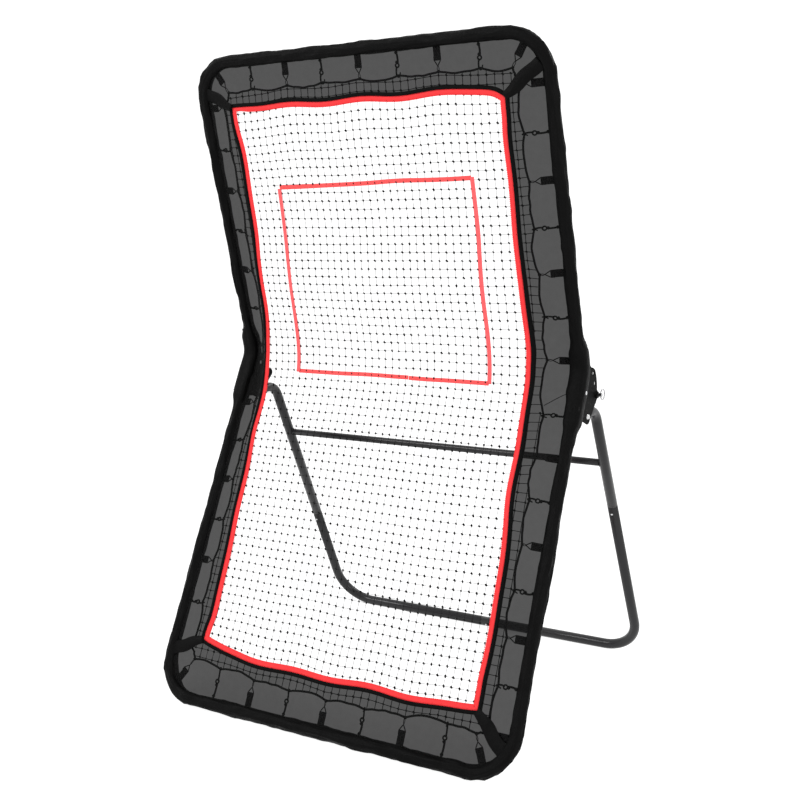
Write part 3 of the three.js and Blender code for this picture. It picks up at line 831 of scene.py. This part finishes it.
def net_point(x, s):
    """Where a knot of the net ends up: pulled about by its neighbours."""
    place = Vector((x, s, 0))
    drift_x = 0.0035 * noise.noise(place * 3.1 + Vector((0, 0, 2))) + 0.0012 * noise.noise(place * 30)
    drift_s = 0.0045 * noise.noise(place * 2.7 + Vector((9, 0, 4))) + 0.0012 * noise.noise(place * 33)
    near_top = math.exp(-max(0.0, BORDER_TOP - 0.024 - s) / 0.12)
    near_bottom = math.exp(-max(0.0, s + BORDER_BOTTOM - 0.034) / 0.12)
    ease = max(0.0, 1 - (abs(x) / BORDER_HALF) ** 3.2)
    wave = 0.004 * math.cos(math.pi * x / END_TIE_SPACING)
    drift_s += (near_top - near_bottom) * ease * (0.008 + wave)
    return x + drift_x, s + drift_s


def cell_height(s):
    return CELL_HIGH + (END_CELL_HIGH - CELL_HIGH) * float(smooth(abs(s), 0.42, 0.60))


def knot_shape():
    """A small lumpy double knot."""
    rings, around = 6, 8
    points = []
    for i in range(rings):
        polar = math.pi * (i + 0.5) / rings
        for j in range(around):
            angle = 2 * math.pi * j / around
            lump = 1 + 0.2 * math.sin(2 * angle + 3 * math.cos(polar))
            reach = KNOT_RADIUS * math.sin(polar) * lump
            points.append((KNOT_LENGTH * math.cos(polar), reach * math.cos(angle), reach * math.sin(angle)))
    return np.array(points), grid_faces(rings, around, close_columns=True) + caps(rings, around)


def net():
    """Knotted twine: two sets of strands from rope to rope, and a knot wherever they cross."""
    columns = [CELL_WIDE * (i - 20.5) for i in range(42)]
    rows = [0.004]
    while rows[-1] < UPPER_LENGTH:
        rows.append(rows[-1] + cell_height(rows[-1]))
    while rows[0] > -LOWER_LENGTH:
        rows.insert(0, rows[0] - cell_height(rows[0]))
    inside = {}
    for i, x in enumerate(columns):
        for j, s in enumerate(rows):
            px, ps = net_point(x, s)
            if (rope_at_side(ps, -1) + ROPE_GAP < px < rope_at_side(ps, 1) - ROPE_GAP
                    and rope_at_end(px, -1) + ROPE_GAP < ps < rope_at_end(px, 1) - ROPE_GAP):
                inside[i, j] = (px, ps)
    mesh = Mesh()

    def strand(line):
        line = np.array(line)
        banded = ((np.abs(line[:, 0]) > BORDER_HALF) | (line[:, 1] > BORDER_TOP)
                  | (line[:, 1] < -BORDER_BOTTOM))
        lift = np.zeros(len(line))
        lift[[0, -1]] = ROPE_LIFT
        radius = np.where(banded, DOUBLED_TWINE_RADIUS, TWINE_RADIUS)
        panel_tube(mesh, line, lift, radius, 5)

    for i in range(len(columns)):
        line = [inside[i, j] for j in range(len(rows)) if (i, j) in inside]
        if len(line) > 3:
            x0, x1 = line[0][0], line[-1][0]
            if abs(x0) < ROPE_CORNER:
                line = [(x0, rope_at_end(x0, -1))] + line + [(x1, rope_at_end(x1, 1))]
            strand(line)
    for j in range(len(rows)):
        line = [inside[i, j] for i in range(len(columns)) if (i, j) in inside]
        if len(line) > 3:
            s0, s1 = line[0][1], line[-1][1]
            strand([(rope_at_side(s0, -1), s0)] + line + [(rope_at_side(s1, 1), s1)])
    shape, faces = knot_shape()
    for (i, j), (x, s) in inside.items():
        tilt = math.radians(random.uniform(50, 85) if i % 2 else random.uniform(20, 50))
        size = random.uniform(0.85, 1.12)
        middle = on_panel(x, s, 0.0)
        up = on_panel(x, s + 0.001, 0.0) - middle
        up /= np.linalg.norm(up)
        across = np.array([1.0, 0, 0])
        out = np.cross(across, up)
        first = -math.cos(tilt) * across + math.sin(tilt) * up
        second = math.sin(tilt) * across + math.cos(tilt) * up
        mesh.add(middle + size * shape @ np.array([first, second, out]), faces)
    soft(mesh, "net", "netting", "lower_net", "upper_net")


def stitches(mesh, path, across, lift, length=0.0035, pitch=0.0065, width=0.0006):
    """A row of short raised stitches beside a path."""
    path = offset_path(path, across)
    path = resample(np.concatenate([path, path[:1]]), int(6.0 / pitch))
    for point, heading in zip(path, headings(path, True)):
        ends = [point - heading * length / 2, point + heading * length / 2]
        panel_sweep(mesh, ends, [(-width, lift), (0, lift + width), (width, lift), (0, lift - width)])


def red_border():
    mesh = Mesh()
    left = smooth(-BORDER[:, 0], 0.40, 0.45) * smooth(BORDER[:, 1], -0.7, -0.3)
    widths = BORDER_WIDTH - 0.006 * left
    panel_sweep(mesh, BORDER, [strip_profile(width, -0.0022, BORDER_LIFT) for width in widths], closed=True)
    soft(mesh, "red_border", "red_webbing", "lower_red_border", "upper_red_border")
    binding = Mesh()
    middle = offset_path(BORDER, (BORDER_WIDTH + BINDING_WIDTH) / 2 - 0.002)
    panel_sweep(binding, middle, strip_profile(BINDING_WIDTH + 0.004, -0.003, BORDER_LIFT + 0.003, 0.001),
                closed=True)
    soft(binding, "border_binding", "black_webbing")
    sewn = Mesh()
    for across in (-0.0095, 0.0085):
        stitches(sewn, BORDER, across, BORDER_LIFT + 0.0002)
    soft(sewn, "border_stitches", "red_webbing", smooth_shade=False)


def strike_ribbon():
    """Five lengths of ribbon: the bottom has a join, and the sides lie over the other ones' ends."""
    half, top, bottom, width, gap = 0.337, 0.569, -0.052, 0.0135, 0.001
    join, rise = 0.072, 0.009

    def strip(start, end, low, seed):
        start, end = np.array(start), np.array(end)
        path = []
        for share in np.linspace(0, 1, 60):
            x, s = start + (end - start) * share
            sway = 0.004 * math.sin(math.pi * share)
            path.append((x + sway * noise.noise(Vector((5 * x, 5 * s, seed))),
                         s + sway * noise.noise(Vector((5 * x, 5 * s, seed + 4)))))
        return path, strip_profile(width, low, low + 0.001)

    # The lighter reds of both lengths are partly painted light shining through the ribbon from behind.
    across = Mesh()
    for start, end, seed in (((-half + 0.002, top), (half - 0.004, top + rise), 1),
                             ((-half + 0.002, bottom), (join - gap, bottom + 0.001), 2),
                             ((join + gap, bottom), (half + 0.005, bottom - 0.001), 3)):
        panel_sweep(across, *strip(start, end, 0.0008, seed))
    soft(across, "strike_ribbon", "red_webbing", "lower_strike_ribbon", "upper_strike_ribbon",
         look="strike_webbing")
    sides = Mesh()
    for start, end, seed in (((-half - 0.001, bottom - 0.004), (-half, top - 0.004), 5),
                             ((half + 0.007, bottom - 0.003), (half - 0.001, top + rise + 0.003), 6)):
        panel_sweep(sides, *strip(start, end, 0.0020, seed))
    soft(sides, "strike_ribbon_sides", "red_webbing", look="strike_side_webbing")


# ---- Rope, straps and bungee cords ----

def edge_rope():
    mesh = Mesh()
    twist = 0.0004 * np.sin(np.arange(len(ROPE)) * 1.9)
    panel_tube(mesh, ROPE, ROPE_LIFT + twist, ROPE_RADIUS, 10, closed=True)
    soft(mesh, "edge_rope", "black_webbing", "lower_suspension", "upper_suspension")


def ties(with_strap):
    """For each tie of one kind: its start at the sleeve, unit headings to the rope and sideways, and
    the length between sleeve and rope."""
    for x, s, foot_x, foot_s, is_strap in ANCHORS:
        if is_strap == with_strap:
            start, end = np.array([foot_x, foot_s]), np.array([x, s])
            long = np.linalg.norm(end - start)
            yield start, (end - start) / long, -leftwards(start, end), long


def strap_ties():
    """Elastic straps, each with a metal triangle and a cord loop to the rope."""
    straps, rings, cords = Mesh(), Mesh(), Mesh()
    for start, heading, sideways, long in ties(True):
        strap_end = long * STRAP_SHARE
        path = start + heading * np.linspace(-0.012, strap_end, 6)[:, None]
        panel_sweep(straps, path, strip_profile(STRAP_WIDTH, -0.0010, 0.0010))
        fold = start + heading * np.linspace(strap_end - 0.011, strap_end, 3)[:, None]
        panel_sweep(straps, fold, strip_profile(STRAP_WIDTH, 0.0012, 0.0030, 0.0006))
        corners = [(-0.0105, 0), (0.0105, 0), (0.0, 0.0165)]
        loop = []
        for (a0, b0), (a1, b1) in zip(corners, corners[1:] + corners[:1]):
            for t in (0.12, 0.35, 0.65, 0.88):
                a, b = a0 + (a1 - a0) * t, b0 + (b1 - b0) * t
                loop.append(start + heading * (strap_end - 0.001 + b) + sideways * a)
        panel_tube(rings, loop, 0.001, RING_WIRE, closed=True)
        tip = strap_end + 0.0145
        for turn in (-1, 1):
            t = np.linspace(0, 1, 7)[:, None]
            path = (start + heading * (tip + (long - tip) * t)
                    + sideways * turn * 0.0025 * np.sin(math.pi * t))
            panel_tube(cords, path, 0.0005 + 0.001 * turn, LOOP_CORD, 6)
        turns = full_turn(12)
        wrap = start + heading * (long + 0.0035 * np.cos(turns))[:, None]
        lifts = ROPE_LIFT + 0.0045 * np.sin(turns)
        for shift in (-0.0018, 0.0018):
            panel_tube(cords, wrap + sideways * shift, lifts, LOOP_CORD + 0.0001, 6, closed=True)
    soft(straps, "elastic_straps", "black_webbing")
    soft(rings, "strap_rings", "black_steel")
    soft(cords, "strap_cords", "black_webbing")


def bungee_ties():
    """Thin bungee cords from the sleeve, each with a small hook that catches the rope."""
    cords, hooks = Mesh(), Mesh()
    for start, heading, sideways, long in ties(False):
        bow = random.choice((-1, 1)) * random.uniform(0.0015, 0.004)

        def at(along, aside, lift=0.001):
            place = start + heading * along + sideways * aside
            return on_panel(place[0], place[1], lift)

        cord_end = long * 0.50
        line = [at(t, bow * math.sin(2.4 * t / cord_end)) for t in np.linspace(-0.012, cord_end, 9)]
        tube(cords, line, BUNGEE_CORD)
        for t in (cord_end * 0.12, cord_end * 0.9):
            tube(cords, [at(t - 0.004, 0), at(t, 0), at(t + 0.004, 0)],
                 [BUNGEE_CORD + 0.0001, BUNGEE_CORD + 0.0025, BUNGEE_CORD + 0.0001])
        eye = [at(cord_end + 0.006 + 0.0056 * math.cos(a), 0.0056 * math.sin(a)) for a in full_turn(16)]
        tube(hooks, eye, HOOK_WIRE, closed=True)
        bend = [at(cord_end + 0.009, 0.0), at(cord_end + 0.015, 0.003, 0.002),
                at(long - 0.004, 0.0025, 0.0045), at(long + 0.0035, 0.0, 0.003),
                at(long + 0.0045, -0.0015, -0.003), at(long - 0.001, -0.003, -0.0055),
                at(long - 0.007, -0.0055, -0.004)]
        hook = smooth_line(bend, 4)
        tube(hooks, hook, np.linspace(HOOK_WIRE + 0.0004, HOOK_WIRE - 0.0004, len(hook)))
    soft(cords, "bungee_cords", "black_webbing")
    soft(hooks, "bungee_hooks", "black_steel")


def hinge_strings():
    """A drawstring on each side that holds the rope to the sleeve at the hinge."""
    mesh = Mesh()
    for sign in (-1, 1):
        line = smooth_line([(0.508, -0.110, 0.0), (0.540, -0.086, 0.0012), (0.571, -0.069, 0.001)], 8)
        tube(mesh, on_panel(sign * line[:, 0], line[:, 1], line[:, 2]), DRAWSTRING, 6)
    soft(mesh, "hinge_strings", "black_webbing")


# ---- Stand ----

REAR_REACH = 0.531
REAR_BAR_HEIGHT = TUBE_RADIUS * math.cos(math.pi / 12)
LEG_BEND = Vector((0, FOLD_Y + 0.112, FOLD_Z - 0.132))
LEG_FRONT = Vector((0, FOLD_Y - 0.008 - TUBE_RADIUS, FOLD_Z - 0.132))
REAR_BAR = Vector((0, FOLD_Y + REAR_REACH, REAR_BAR_HEIGHT))
LEG_JOINT = {"left": 0.560, "right": 0.358}
CROSS_BAR_DROP = 0.195
CROSS_BAR_RADIUS = 0.011
CROSS_BAR_WALL = 0.0012
WELD_RING = 0.0118           # radius of the weld bead's middle line round the cross bar
TOP_BEND = 0.060
BAR_BEND = 0.125
HALF_GAP = 0.00015           # half of the open seam where two tubes meet
LEG_DOWN = (REAR_BAR - LEG_BEND).normalized()


def bent_path(corners, radius, steps=18):
    """Points along straight runs with a round bend at each inner corner."""
    points = [Vector(corners[0])]
    for before, corner, after in zip(corners, corners[1:], corners[2:]):
        back, ahead = (before - corner).normalized(), (after - corner).normalized()
        turn = math.pi - back.angle(ahead)
        start = corner + back * radius * math.tan(turn / 2)
        inward = (ahead - back * ahead.dot(back)).normalized()
        for i in range(steps + 1):
            angle = turn * i / steps
            points.append(start + inward * radius * (1 - math.cos(angle)) - back * radius * math.sin(angle))
    points.append(Vector(corners[-1]))
    return points


def stand_tube(name, node, path, radius=TUBE_RADIUS, wall=TUBE_WALL, sides=40):
    """A smooth round tube of the stand, with rolled rims at both ends."""
    path = np.array([list(p) for p in path])
    tangents = headings(path, False)
    rim = wall / 2
    start, end = ([(path[i], tangents[i], radius - rim)] for i in (0, -1))
    inset = path.copy()
    inset[0] += tangents[0] * rim
    inset[-1] -= tangents[-1] * rim
    outer = [(point, tangent, radius) for point, tangent in zip(inset, tangents)]
    inner = [(point, tangent, radius - wall) for point, tangent, _ in outer[::-1]]
    rings = round_sections(outer + end + inner + start, sides)
    mesh = Mesh()
    mesh.add(rings, grid_faces(len(rings), sides, close_rows=True, close_columns=True))
    rigid(mesh, name, "rear_stand", "powder_coat", node)


def rear_stand():
    for label, sign in (("left", -1), ("right", 1)):
        x = Vector((sign * HALF_WIDTH, 0, 0))
        joint = LEG_BEND + LEG_DOWN * LEG_JOINT[label]
        gap = LEG_DOWN * HALF_GAP
        stand_tube(f"stand_leg_upper_{label}", f"leg_upper_{label}",
                   bent_path([x + LEG_FRONT, x + LEG_BEND, x + joint - gap], TOP_BEND))
        middle = Vector((sign * HALF_GAP, REAR_BAR.y, REAR_BAR.z))
        stand_tube(f"stand_leg_lower_{label}", f"leg_lower_{label}",
                   bent_path([x + joint + gap, x + REAR_BAR, middle], BAR_BEND, 28))
    at = LEG_BEND + LEG_DOWN * CROSS_BAR_DROP
    reach = HALF_WIDTH - TUBE_RADIUS - 0.0003
    stand_tube("stand_cross_bar", "cross_bar",
               [at + Vector((x, 0, 0)) for x in np.linspace(-reach, reach, 9)],
               CROSS_BAR_RADIUS, CROSS_BAR_WALL)
    welds = Mesh()
    for sign in (-1, 1):
        ring = []
        for angle in full_turn(48):
            out = np.array([0.0, math.cos(angle), math.sin(angle)]) * WELD_RING
            off_squared = WELD_RING ** 2 - Vector(out).dot(LEG_DOWN) ** 2
            x = sign * (HALF_WIDTH - math.sqrt(TUBE_RADIUS ** 2 - off_squared) - 0.0006)
            ring.append(np.array(at) + out + np.array([x, 0, 0]))
        tube(welds, ring, 0.0013 + 0.0003 * np.sin(np.arange(48) * 1.7), 8, closed=True)
    rigid(welds, "cross_bar_welds", "rear_stand", "powder_coat")


# ---- Hardware ----

SPRING_WIRE = 0.00092        # radius of the ring's wire, and the distance between its two turns
SPRING_PITCH = 0.0019


def split_rings():
    """Two turns of spring wire through the eye of each lock pin."""
    for label in ("left", "right"):
        low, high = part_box(f"split_ring_{label}")
        centre = (Vector(low) + Vector(high)) / 2
        radius = (high[1] - low[1]) / 2 - 0.0011
        share = np.linspace(0, 1, 97)
        turn = 4 * math.pi * share + 0.6
        side = SPRING_PITCH / 2 * (2 * smooth(share, 0.42, 0.58) - 1)
        points = np.array(centre) + np.stack([side, radius * np.cos(turn), radius * np.sin(turn)], axis=1)
        mesh = Mesh()
        tube(mesh, points, SPRING_WIRE, 10)
        rigid(mesh, f"key_ring_{label}", f"split_ring_{label}", "chrome", f"split_ring_{label}")


def carried_over_nodes():
    """Edges and finish of the CAD nodes that stay visible."""
    slots = {"insert": "zinc_steel", "guide": "black_steel", "button": "zinc_steel",
             "bracket": "black_steel", "plate": "black_steel", "bolt": "zinc_steel", "nut": "zinc_steel",
             "tube": "powder_coat", "pin": "chrome"}
    for name, node in frame["nodes"].items():
        slot = next((slot for part, slot in slots.items() if part in name), None)
        if slot is None or node.hide_render:
            continue
        node.data.materials.clear()
        node.data.materials.append(MATERIALS[slot])
        bevel = node.modifiers.new("edges", "BEVEL")
        bevel.width = 0.0004 if slot != "chrome" else 0.0003
        bevel.segments = 2
        bevel.limit_method = "ANGLE"
        bevel.angle_limit = math.radians(35)


# ---- Making ----

camera()
studio()
floor()
rear_stand()
fabric_sleeve()
red_border()
mesh_cover()
mitre_bands()
net()
strike_ribbon()
edge_rope()
strap_ties()
bungee_ties()
hinge_strings()
split_rings()
carried_over_nodes()
